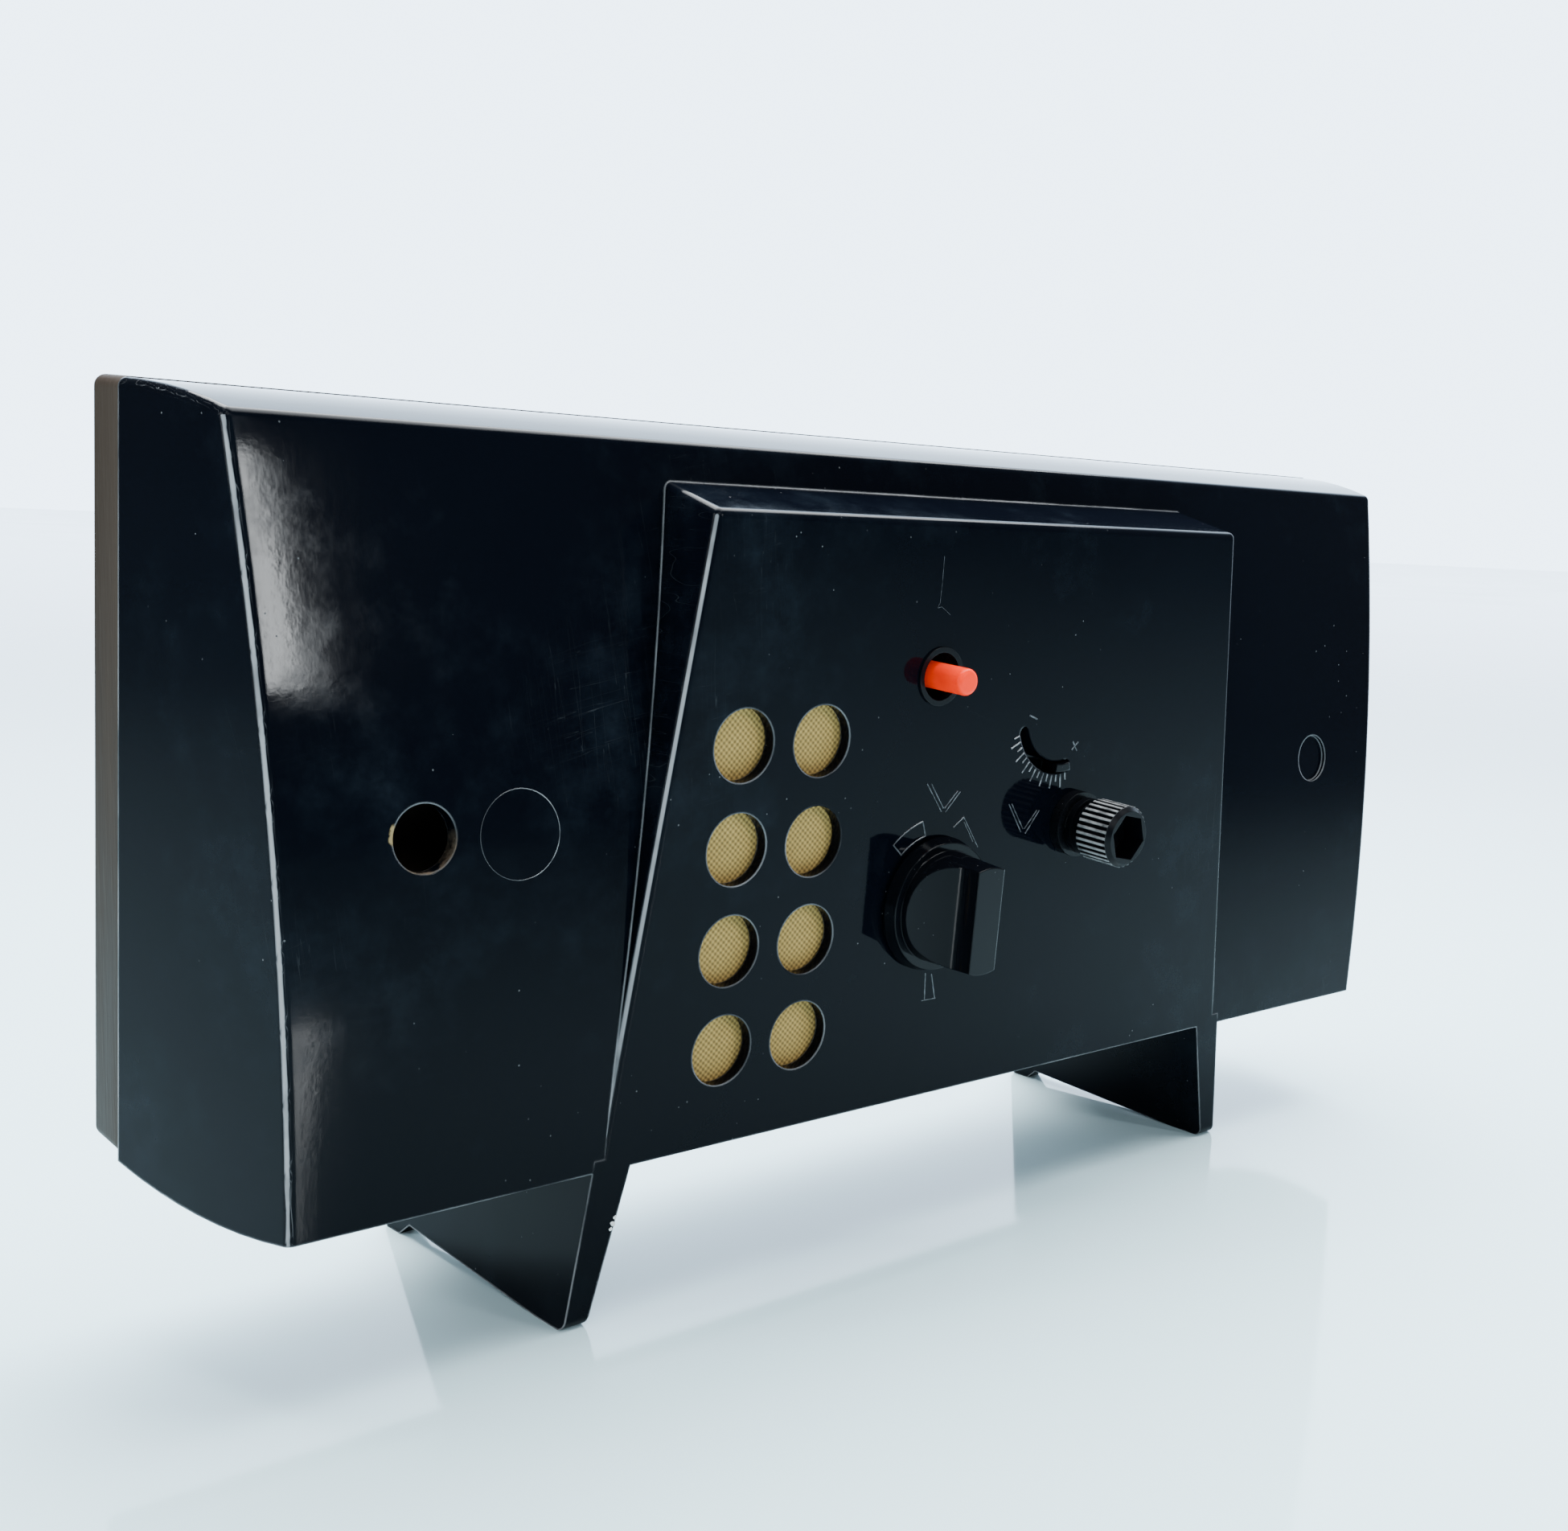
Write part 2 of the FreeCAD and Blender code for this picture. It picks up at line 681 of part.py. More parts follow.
def button():
    x, z = "button_x", "button_z"
    collar = fuse("bush_solid", [
        rod("bush_flange", "bezel_radius", x, z, ("-0.45", "0")),
        rod("bush_tube", "throat_radius + 0.42", x, z, ("0", "8.4")),
    ])
    keep("button_bush", cut("bush", collar, [
        rod("bush_throat", "throat_radius", x, z, ("-1", "7")),
        rod("bush_guide", "button_radius + running_gap", x, z, ("6", "9")),
    ]))
    stem = rod("button_stem", "button_radius", x, z, ("0 - button_reach", "14"))
    tip = soften("button_tip", stem, 0.9, lambda edge: depth_of(edge)[1] < 0)
    keep("push_button", fuse("button_solid", [tip, rod("button_stop", "4", x, z, ("8.7", "9.9"))]))
    coil = doc.addObject("Part::Feature", "button_coil")
    coil.Shape = coil_spring(turns=5, length=7.0, radius=3.3, wire=0.3)
    coil.Placement.Base = Vector(size(x), size("panel_y") + 10.3, size(z))
    keep("button_spring", coil)
    keep("button_switch", fuse("switch", [
        box("switch_case", (x + " - 5.5", x + " + 5.5"), ("18", "25"), (z + " - 5", z + " + 5")),
        box("switch_tag_left", (x + " - 3.5", x + " - 2.9"), ("25", "29"), (z + " - 1", z + " + 1")),
        box("switch_tag_right", (x + " + 2.9", x + " + 3.5"), ("25", "29"), (z + " - 1", z + " + 1")),
    ]))
    keep("switch_bracket", fuse("switch_frame", [
        box("frame_left", (x + " - 7", x + " - 6"), ("wall + 0.05", "25"), (z + " - 6.5", z + " + 6.5")),
        box("frame_right", (x + " + 6", x + " + 7"), ("wall + 0.05", "25"), (z + " - 6.5", z + " + 6.5")),
        box("frame_top", (x + " - 7", x + " + 7"), ("18", "25"), (z + " + 5.5", z + " + 6.5")),
        box("frame_bottom", (x + " - 7", x + " + 7"), ("18", "25"), (z + " - 6.5", z + " - 5.5")),
    ]))


# ---------------------------------------------------------------- tuning drive

def gear_outline(teeth, pitch_radius, phase):
    """Closed involute gear outline about the origin; a tooth points along phase (radians)."""
    module = 2 * pitch_radius / teeth
    pressure = math.radians(20)
    base = pitch_radius * math.cos(pressure)
    tip = pitch_radius + 0.8 * module
    root = pitch_radius - 1.25 * module
    half_tooth = math.pi / (2 * teeth) * 0.74
    flare = math.tan(pressure) - pressure

    def half_angle(radius):
        if radius <= base:
            return half_tooth + flare
        roll = math.acos(base / radius)
        return half_tooth + flare - (math.tan(roll) - roll)

    levels = [root] + [max(base, root) + (tip - max(base, root)) * step / 5 for step in range(6)]
    points = []
    for tooth in range(teeth):
        middle = phase + 2 * math.pi * tooth / teeth
        for radius in levels:
            points.append((radius, middle - half_angle(radius)))
        for radius in reversed(levels):
            points.append((radius, middle + half_angle(radius)))
    return [Vector(r * math.cos(a), r * math.sin(a), 0) for r, a in points]


def toothed_disc(name, points, x, z, y):
    """Solid from an outline drawn in front view, extruded from y[0] to y[1]."""
    flat = [Vector(point.x, 0, point.y) for point in points]
    face = Part.Face(Part.makePolygon(flat + flat[:1]))
    disc = doc.addObject("Part::Feature", name)
    disc.Shape = face.extrude(Vector(0, size(y[1]) - size(y[0]), 0))
    disc.Placement = FreeCAD.Placement(
        Vector(size(x), size("panel_y") + size(y[0]), size(z)), Rotation())
    return disc


def capacitor_axis():
    """Expressions for the capacitor shaft's place, one centre distance from the tuning shaft."""
    turn = math.radians(GEAR_ANGLE)
    reach = "( gear_pitch_small + gear_pitch_large )"
    return ("( tuning_x + " + reach + " * %.6f )" % math.cos(turn),
            "( tuning_z + " + reach + " * %.6f )" % math.sin(turn))


def half_plate(name, radius, x, z, y, start):
    """Half disc about the capacitor axis, from a direction seen from the front."""
    plate = rod(name, radius, x, z, y, sweep=180)
    plate.Placement.Rotation = Rotation(Vector(0, -1, 0), start + 180).multiply(
        Rotation(Vector(1, 0, 0), -90))
    return plate


def tuning_knob():
    x, z = "tuning_x", "tuning_z"
    front = "0 - knob_depth"
    skirt = cone("knob_skirt", ("skirt_radius", "skirt_radius - 0.7"), x, z, ("-3.2", "-0.8"))
    skirt.setExpression("Radius1", "dims.skirt_radius - 0.7")
    skirt.setExpression("Radius2", "dims.skirt_radius")
    drum = cone("knob_drum", ("10.2", "10.8"), x, z, (front, "-3.2"))
    scoop = "9.6"
    scoops = []
    for side in ("-1", "1"):
        cutter = doc.addObject("Part::Cylinder", "scoop_left" if side == "-1" else "scoop_right")
        cutter.setExpression("Radius", scoop)
        cutter.Height = 40
        place(cutter, x + " + " + side + " * ( grip_width / 2 + " + scoop + " )", "-13.9", z + " - 20")
        scoops.append(cutter)
    bore = rod("knob_bore", "shaft_radius", x, z, ("-11", "0"))
    keep("tuning_knob", cut("knob", fuse("knob_solid", [skirt, drum]), scoops + [bore]))


def tuning_drive():
    x, z = "tuning_x", "tuning_z"
    far_x, far_z = capacitor_axis()
    gears = ("14", "14 + gear_thickness")
    keep("tuning_shaft", rod("tuning_rod", "shaft_radius", x, z, ("-11", "17.8")))
    plate = box("bracket_plate", ("-15.2", "16"), ("10.5", "11.7"), ("44", "78"))
    posts = [
        rod("bracket_post_top", "2", "8", "73", ("wall + 0.05", "10.5")),
        rod("bracket_post_low", "2", "-11", "49", ("wall + 0.05", "10.5")),
    ]
    bores = [
        rod("tuning_bearing", "shaft_radius + running_gap", x, z, ("10", "12")),
        rod("capacitor_bearing", "2.5 + running_gap", far_x, far_z, ("10", "12")),
    ]
    keep("tuning_bracket", cut("bracket", fuse("bracket_solid", [plate] + posts), bores))

    aim = math.radians(GEAR_ANGLE)
    small = toothed_disc("small_wheel", gear_outline(TEETH_SMALL, size("gear_pitch_small"), aim), x, z, gears)
    keep("drive_gear", cut("small_gear", small, [rod("small_bore", "shaft_radius", x, z, ("13", "18"))]))
    gap = aim + math.pi + math.pi / TEETH_LARGE
    large = toothed_disc("large_wheel", gear_outline(TEETH_LARGE, size("gear_pitch_large"), gap),
                         far_x, far_z, gears)
    keep("capacitor_gear", cut("large_gear", large, [rod("large_bore", "2.5", far_x, far_z, ("13", "18"))]))

    keep("capacitor_shaft", rod("rotor_rod", "2.5", far_x, far_z, ("8", "36.4")))
    across = (far_x + " - 15", far_x + " + 15")
    frame = fuse("frame_solid", [
        box("frame_front", across, ("19", "20.2"), (far_z + " - 14", far_z + " + 16")),
        box("frame_back", across, ("35", "36.2"), (far_z + " - 14", far_z + " + 16")),
        box("frame_roof", across, ("19", "36.2"), (far_z + " + 14.8", far_z + " + 16")),
    ])
    keep("capacitor_frame", cut("frame", frame, [
        rod("frame_bores", "2.5 + running_gap", far_x, far_z, ("18", "34")),
        rod("frame_bore_back", "2.5 + running_gap", far_x, far_z, ("34", "37")),
    ]))
    bar_height = (far_z + " + 12.4", far_z + " + 14.7")
    fixed = [box("stator_bar", (far_x + " - 6", far_x + " + 6"), ("20.9", "34.3"), bar_height)]
    for number in range(6):
        near = "21 + %d * 2.6" % number
        fixed.append(half_plate("stator_plate_%d" % number, "13", far_x, far_z, (near, near + " + 0.4"), 0))
    keep("capacitor_stator", cut("stator", fuse("stator_solid", fixed), [
        rod("stator_clearance", "4", far_x, far_z, ("20", "35")),
    ]))
    moving = [rod("rotor_hub", "3.4", far_x, far_z, ("21", "34.4"))]
    for number in range(5):
        near = "22.3 + %d * 2.6" % number
        span = (near, near + " + 0.4")
        moving.append(half_plate("rotor_plate_%d" % number, "11.6", far_x, far_z, span, -90))
    keep("capacitor_rotor", cut("rotor", fuse("rotor_solid", moving), [
        rod("rotor_bore", "2.5", far_x, far_z, ("20", "36")),
    ]))


# ---------------------------------------------------------------- volume control

def knurl_outline(ridges, outer, inner):
    """Closed outline of rounded-off ridges round a drum."""
    points = []
    for ridge in range(ridges):
        middle = 2 * math.pi * ridge / ridges
        quarter = math.pi / (2 * ridges)
        for radius, turn in ((inner, -1.5), (outer, -0.7), (outer, 0.7), (inner, 1.5)):
            points.append(Vector(radius * math.cos(middle + turn * quarter),
                                 radius * math.sin(middle + turn * quarter), 0))
    return points


def volume_control():
    x, z = "volume_x", "volume_z"
    front = "0 - volume_reach"
    drum = toothed_disc("volume_drum", knurl_outline(30, size("drum_radius"), size("drum_radius") - 0.45),
                        x, z, (front + " + 0.9", "-6.6"))
    rim = cone("volume_rim", ("drum_radius - 0.9", "drum_radius - 0.1"), x, z, (front, front + " + 0.9"))
    neck = rod("volume_neck", "4.7", x, z, ("-6.6", "-4.6"))
    skirt = rod("volume_skirt", "5.7", x, z, ("-4.6", "-3.2"))
    socket = doc.addObject("Part::Prism", "volume_socket")
    socket.Polygon = 6
    socket.setExpression("Circumradius", "dims.socket_radius")
    socket.Height = 5.5
    place(socket, x, front + " - 0.5", z)
    socket.Placement.Rotation = Rotation(Vector(0, -1, 0), SOCKET_TURN).multiply(
        Rotation(Vector(1, 0, 0), -90))
    bore = rod("volume_bore", "shaft_radius", x, z, ("-8.5", "-3"))
    keep("volume_knob", cut("volume_cap", fuse("volume_solid", [drum, rim, neck, skirt]), [socket, bore]))
    keep("volume_shaft", rod("volume_rod", "shaft_radius", x, z, ("-8.5", "12")))
    bush = rod("thread_tube", "4.5", x, z, ("-2.4", "5"))
    bore = rod("thread_bore", "shaft_radius + running_gap", x, z, ("-3", "6"))
    keep("volume_bush", cut("thread", bush, [bore]))
    nut = rod("nut_disc", "6.6", x, z, ("-2.2", "-0.05"))
    keep("volume_nut", cut("nut", nut, [rod("nut_bore", "4.5", x, z, ("-3", "1"))]))
    can = fuse("pot_solid", [
        rod("pot_can", "9", x, z, ("5", "14.5")),
        box("pot_tags", (x + " - 5", x + " + 5"), ("6", "7.2"), (z + " - 13", z)),
    ])
    can_bore = rod("pot_bore", "shaft_radius + running_gap", x, z, ("4", "12.5"))
    keep("potentiometer", cut("pot", can, [can_bore]))


# ---------------------------------------------------------------- trim lever

def trim_lever():
    x, z = "trim_x", "trim_z"
    pin = fuse("pivot_solid", [
        rod("pivot_pin", "1.75", x, z, ("wall + 0.02", "6.4")),
        rod("pivot_head", "3", x, z, ("6.4", "7.4")),
    ])
    keep("trim_pivot", pin)
    hub = rod("lever_hub", "4.2", x, z, ("3", "6"))
    arm = box("lever_arm", ("0", "trim_radius"), ("0", "1.4"), ("-1.6", "1.6"))
    for path in ("Placement.Base.x", "Placement.Base.y", "Placement.Base.z"):
        arm.setExpression(path, None)
    turn = Rotation(Vector(0, -1, 0), TRIM_REST)
    centre = Vector(size(x), size("panel_y") + 3.0, size(z))
    arm.Placement = FreeCAD.Placement(centre + turn.multVec(Vector(0, 0, -1.6)), turn)
    half_tab = 10.0
    tab = arc_band("lever_tab", "trim_radius - 0.8", "trim_radius + 0.8", ("-1", "3.2"),
                   TRIM_REST - half_tab, TRIM_REST + half_tab)
    pad = arc_band("lever_pad", "trim_radius - 1.8", "trim_radius + 1.8", ("3", "4.2"),
                   SLOT_START - 8, SLOT_END + 8 + TRIM_SWING)
    solid = fuse("lever_solid", [hub, arm, tab, pad])
    keep("trim_lever", cut("lever", solid, [rod("lever_bore", "1.75 + running_gap", x, z, ("2", "7"))]))


# ---------------------------------------------------------------- electronics

def circuit():
    wide, high = "board_width / 2", "board_height / 2"
    back = "board_y + board_thickness"
    board = box("board_sheet", ("board_x - " + wide, "board_x + " + wide), ("board_y", back),
                ("board_z - " + high, "board_z + " + high))
    holes = []
    screws = []
    for number, (x, z, _) in enumerate(board_places()):
        holes.append(rod("board_hole_%d" % number, "1.3", x, z, ("board_y - 1", back + " + 1")))
        screws.append(screw("board_screw_%d" % number, "0.85", "2.1", x, z, ("board_y - 6", back), "1.2"))
    keep("circuit_board", cut("board", board, holes))
    keep("board_screws", group("board_screw_set", screws))

    def parts(label, places, shape):
        solids = [shape("%s_%d" % (label, number), "board_x + %.1f" % dx, "board_z + %.1f" % dz)
                  for number, (dx, dz) in enumerate(places)]
        return keep(label, group(label + "_set", solids))

    parts("if_cans", [(-26, 22), (-10, 22), (6, 22)], lambda name, x, z: box(
        name, (x + " - 5", x + " + 5"), (back, back + " + 13"), (z + " - 5", z + " + 5")))
    parts("transistors", [(-30, 0), (-18, 0), (-6, 0), (6, 0), (18, -8), (30, -8)], lambda name, x, z: rod(
        name, "2.6", x, z, (back, back + " + 6")))
    parts("electrolytics", [(-30, -20), (-19, -20), (-8, -20), (24, 22)], lambda name, x, z: rod(
        name, "4", x, z, (back, back + " + 14")))
    core = "board_x + 16"
    low = "board_z - 30"
    keep("output_transformer", fuse("transformer", [
        box("transformer_core", (core + " - 11", core + " + 11"), (back, back + " + 13"),
            (low + " - 9", low + " + 9")),
        box("transformer_coil", (core + " - 7", core + " + 7"), (back, back + " + 17"),
            (low + " - 6.5", low + " + 6.5")),
    ]))


def aerial():
    half = "rod_length / 2"
    span = ("rod_x - " + half, "rod_x + " + half)
    keep("ferrite_rod", rod_x("ferrite", "rod_radius", span, "rod_y", "rod_z"))
    former = rod_x("coil_former", "rod_radius + 1.6", ("rod_x - 22", "rod_x + 8"), "rod_y", "rod_z")
    tunnel = rod_x("coil_tunnel", "rod_radius", ("rod_x - 23", "rod_x + 9"), "rod_y", "rod_z")
    keep("antenna_coil", cut("coil", former, [tunnel]))
    holders = []
    for number, offset in enumerate(("- 48", "+ 48")):
        middle = "( rod_x " + offset + " )"
        block = box("holder_block_%d" % number, (middle + " - 3", middle + " + 3"),
                    ("rod_y - 6", "rod_y + 6"), ("rod_z - 6.5", "case_top + 1"))
        fitted = common("holder_fitted_%d" % number, [block, doc.getObject("case_inner")])
        reach = (middle + " - 4", middle + " + 4")
        gap = rod_x("holder_gap_%d" % number, "rod_radius", reach, "rod_y", "rod_z")
        holders.append(cut("holder_%d" % number, fitted, [gap]))
    keep("rod_holders", group("holder_set", holders))


def batteries():
    length = "cell_length"
    left = "( pack_x - " + length + " / 2 )"
    right = "( pack_x + " + length + " / 2 )"
    reach = "( 2 * cell_pitch + 1 )"
    outer = box("tray_outer", (left + " - 3", right + " + 3"), ("pack_y - 9", "pack_y + 8"),
                ("pack_z - " + reach + " - 1.6", "pack_z + " + reach + " + 1.6"))
    inner = box("tray_inner", (left + " - 1.4", right + " + 1.4"), ("pack_y - 7.4", "pack_y + 9"),
                ("pack_z - " + reach, "pack_z + " + reach))
    feet = [
        rod("tray_foot_low", "3", "pack_x", "pack_z - 27", ("4.9", "pack_y - 8")),
        rod("tray_foot_high", "3", "pack_x", "pack_z + 27", ("13", "pack_y - 8")),
    ]
    keep("battery_box", fuse("tray", [cut("tray_hollow", outer, [inner])] + feet))
    cells = []
    contacts = []
    for number in range(4):
        height = "pack_z + ( %.1f * cell_pitch )" % (number - 1.5)
        flip = number % 2
        can = (left + " + 0.9 * %d" % flip, right + " - 0.9 * %d" % (1 - flip))
        cells.append(fuse("cell_%d" % number, [
            rod_x("cell_can_%d" % number, "cell_radius", can, "pack_y", height),
            rod_x("cell_tip_%d" % number, "2.6", (left, right), "pack_y", height),
        ]))
        ends = {"left": (left + " - 0.9", left + " - 0.4"), "right": (right + " + 0.4", right + " + 0.9")}
        for side, thick in ends.items():
            contacts.append(box("contact_%s_%d" % (side, number), thick, ("pack_y - 6", "pack_y + 6"),
                                ("( " + height + " ) - 5.5", "( " + height + " ) + 5.5")))
    keep("batteries", group("cell_set", cells))
    keep("battery_contacts", group("contact_set", contacts))


def check(shapes):
    """Stop if any object failed to compute or any sub-part is not a sound solid."""
    for item in doc.Objects:
        if "Invalid" in item.State or "Error" in item.State:
            raise RuntimeError("%s did not compute: %s" % (item.Label, item.State))
    for name, item in shapes.items():
        shape = item.Shape
        if shape.isNull() or not shape.isValid() or not shape.Solids:
            raise RuntimeError(name + " has no valid solid")


def export(shapes):
    os.makedirs("parts", exist_ok=True)
    for name, item in shapes.items():
        item.Shape.exportStep("parts/%s.step" % name)


front_housing()
rear_cover()
cover_screws()
loudspeaker()
button()
tuning_knob()
tuning_drive()
volume_control()
trim_lever()
circuit()
aerial()
batteries()
doc.recompute()
check(nodes)
export(nodes)
whole = Part.makeCompound([item.Shape for item in nodes.values()])
limits = whole.BoundBox
print("%d nodes, box %.1f x %.1f x %.1f mm" % (len(nodes), limits.XLength, limits.YLength, limits.ZLength))
print("middle of the box in depth: %.2f mm, lowest point %.2f mm" % (limits.Center.y, limits.ZMin))
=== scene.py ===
import json
import math
import random

import bpy
from mathutils import Matrix, Vector


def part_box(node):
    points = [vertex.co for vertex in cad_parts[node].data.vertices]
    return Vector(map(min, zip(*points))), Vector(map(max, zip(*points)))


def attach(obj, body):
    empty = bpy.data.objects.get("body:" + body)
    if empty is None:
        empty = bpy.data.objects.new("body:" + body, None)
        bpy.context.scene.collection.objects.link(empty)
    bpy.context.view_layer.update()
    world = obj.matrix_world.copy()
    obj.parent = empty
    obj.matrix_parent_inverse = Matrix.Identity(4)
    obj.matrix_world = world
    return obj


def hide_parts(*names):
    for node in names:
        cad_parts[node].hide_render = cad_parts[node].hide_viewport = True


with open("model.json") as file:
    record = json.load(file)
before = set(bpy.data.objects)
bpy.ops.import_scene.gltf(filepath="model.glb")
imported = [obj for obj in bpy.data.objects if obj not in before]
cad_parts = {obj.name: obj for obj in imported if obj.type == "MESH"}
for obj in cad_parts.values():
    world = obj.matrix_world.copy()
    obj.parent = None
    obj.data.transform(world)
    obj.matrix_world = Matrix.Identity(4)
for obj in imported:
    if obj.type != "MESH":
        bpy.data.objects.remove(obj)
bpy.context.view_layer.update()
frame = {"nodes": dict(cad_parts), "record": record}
NODES = frame["nodes"]
MM = 0.001

record_mounts = {mount["name"]: mount for mount in frame["record"]["mounts"]}
LEAD_HOLE = Vector(record_mounts["lead_hole"]["pos_m"])
joints = {joint["name"]: joint for joint in frame["record"]["behaviour"]["joints"]}
# square to the control panel, into the radio
AXIS = Vector(joints["tuning_turn"]["axis"]).normalized()
LEAN = Vector((0, 1, 0)).rotation_difference(AXIS).to_matrix()
# one point of the panel's plane: in the frame, and on the upright drawing in mm
TUNING = Vector(joints["tuning_turn"]["pos_m"])
TUNING_DRAWN = Vector((-11.6, 0, 66.9))


def drawn(x, y, z):
    """Frame point of a point on the upright drawing, in mm, y being the depth behind the panel."""
    return TUNING + LEAN @ ((Vector((x, y, z)) - TUNING_DRAWN) * MM)


def undrawn(point):
    """Upright drawing point in mm of a frame point."""
    return LEAN.transposed() @ (Vector(point) - TUNING) / MM + TUNING_DRAWN


# the lead hole's rough lower right edge and the crumbs on its left,
# with the distance from its centre that each stays within
LEAD_LIP = LEAD_HOLE + Vector((2.4, -1.3, -4.6)) * MM
LEAD_LIP_REACH = 5.62 * MM
LEAD_CRUMBS = LEAD_HOLE + Vector((-4.9, -1.3, 1.0)) * MM
LEAD_CRUMBS_REACH = 6.0 * MM
VOLUME = Vector(joints["volume_turn"]["pos_m"])
TRIM = Vector(joints["trim_swing"]["pos_m"])
# the slot's outline stays free of the painted edge wear and highlight within this distance of the
# lever's pivot
SLOT_REACH = 12.4 * MM
# centre of the ring pressed in the left wing, x and z on the drawing in mm
RING = (-99.5, 86.3)
RING_RADIUS = 7.2
knob_low, knob_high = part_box("volume_knob")
VOLUME_RADIUS = (knob_high.x - knob_low.x) / 2


# ---------------------------------------------------------------- materials

class Graph:
    """Small helper that adds and links shader nodes."""

    def __init__(self, name):
        self.material = bpy.data.materials.new(name)
        self.material.use_nodes = True
        self.tree = self.material.node_tree
        self.shader = self.tree.nodes["Principled BSDF"]
        self.place = self.add("ShaderNodeTexCoord").outputs["Object"]

    def feed(self, socket, value):
        """Link a socket to another one, or give it a plain value."""
        if isinstance(value, bpy.types.NodeSocket):
            self.tree.links.new(value, socket)
        else:
            socket.default_value = value

    def add(self, kind, **inputs):
        node = self.tree.nodes.new(kind)
        for name, value in inputs.items():
            self.feed(node.inputs[name.replace("_", " ")], value)
        return node

    def math(self, operation, first, second=0.0):
        node = self.tree.nodes.new("ShaderNodeMath")
        node.operation = operation
        self.feed(node.inputs[0], first)
        self.feed(node.inputs[1], second)
        return node.outputs[0]

    def times(self, first, second):
        return self.math("MULTIPLY", first, second)

    def vectors(self, operation, first, second=(0, 0, 0)):
        """Outputs of a vector operation, named Vector and Value."""
        node = self.tree.nodes.new("ShaderNodeVectorMath")
        node.operation = operation
        self.feed(node.inputs[0], first)
        self.feed(node.inputs[1], second)
        return node.outputs

    def scaled(self, scale, vector=None):
        node = self.add("ShaderNodeMapping", Vector=vector or self.place, Scale=scale)
        return node.outputs[0]

    def turned(self, degrees, scale):
        """Coordinates turned in the XZ plane, then stretched."""
        rotation = (0, math.radians(degrees), 0)
        turn = self.add("ShaderNodeMapping", Vector=self.place, Rotation=rotation)
        return self.scaled(scale, turn.outputs[0])

    def noise(self, scale, detail=4.0, rough=0.55, vector=None):
        node = self.add("ShaderNodeTexNoise", Vector=vector or self.place,
                        Scale=scale, Detail=detail, Roughness=rough)
        return node.outputs["Fac"]

    def dots(self, scale, size):
        """One where a small round speck lies, else zero."""
        node = self.add("ShaderNodeTexVoronoi", Vector=self.place, Scale=scale)
        return self.math("LESS_THAN", node.outputs["Distance"], size)

    def ramp(self, value, low, high, out_low=0.0, out_high=1.0):
        node = self.add("ShaderNodeMapRange", Value=value, From_Min=low, From_Max=high,
                        To_Min=out_low, To_Max=out_high)
        return node.outputs[0]

    def mix(self, factor, first, second):
        """Blend of two colours, each a socket or a tuple of three."""
        node = self.tree.nodes.new("ShaderNodeMix")
        node.data_type = "RGBA"
        self.feed(node.inputs[0], factor)
        for socket, colour in ((node.inputs[6], first), (node.inputs[7], second)):
            self.feed(socket, colour + (1.0,) if isinstance(colour, tuple) else colour)
        return node.outputs[2]

    def bump(self, height, distance, strength, normal=None):
        node = self.add("ShaderNodeBump", Height=height, Distance=distance, Strength=strength)
        if normal is not None:
            self.tree.links.new(normal, node.inputs["Normal"])
        return node.outputs[0]

    def rounded(self, radius):
        """Normal that rounds sharp edges by a radius."""
        node = self.add("ShaderNodeBevel", Radius=radius)
        node.samples = 6
        return node.outputs[0]

    def worn_and_highlit_edges(self, radius, wear_scale):
        """One along sharp edges, broken up by noise, zero on the flats."""
        flat = self.add("ShaderNodeNewGeometry").outputs["True Normal"]
        facing = self.vectors("DOT_PRODUCT", self.rounded(radius), flat)["Value"]
        edge = self.ramp(facing, 0.985, 0.90)
        return self.times(edge, self.ramp(self.noise(wear_scale, 3.0), 0.30, 0.62))

    def facing_way(self, way, low, high):
        """One where the surface faces the given way, fading to zero."""
        normal = self.add("ShaderNodeNewGeometry").outputs["Normal"]
        facing = self.vectors("DOT_PRODUCT", normal, Vector(way).normalized())["Value"]
        return self.ramp(facing, low, high)

    def from_axis(self, point, axis):
        """Distance in metres from a line."""
        arm = self.vectors("SUBTRACT", self.place, point)["Vector"]
        cross = self.vectors("CROSS_PRODUCT", arm, axis)["Vector"]
        return self.vectors("LENGTH", cross)["Value"]

    def near_point(self, point, radius, soft):
        """One inside a sphere about a point, fading to zero over soft."""
        distance = self.vectors("DISTANCE", self.place, point)["Value"]
        return self.ramp(distance, radius + soft, radius)

    def finish(self, **inputs):
        """Feed the shader; a tuple is a colour of three."""
        for name, value in inputs.items():
            value = value + (1.0,) if isinstance(value, tuple) else value
            self.feed(self.shader.inputs[name.replace("_", " ")], value)
        return self.material


def scratches(g, angle, thin, amount):
    """Sparse hairlines running in one direction."""
    lines = g.noise(1.0, 2.0, 0.5, g.turned(angle, (14.0, 30.0, thin)))
    fine = g.math("LESS_THAN", g.math("ABSOLUTE", g.math("SUBTRACT", lines, 0.5)), 0.0016)
    where = g.ramp(g.noise(12.0, 2.0), 0.60 - amount, 0.72 - amount)
    return g.times(fine, where)


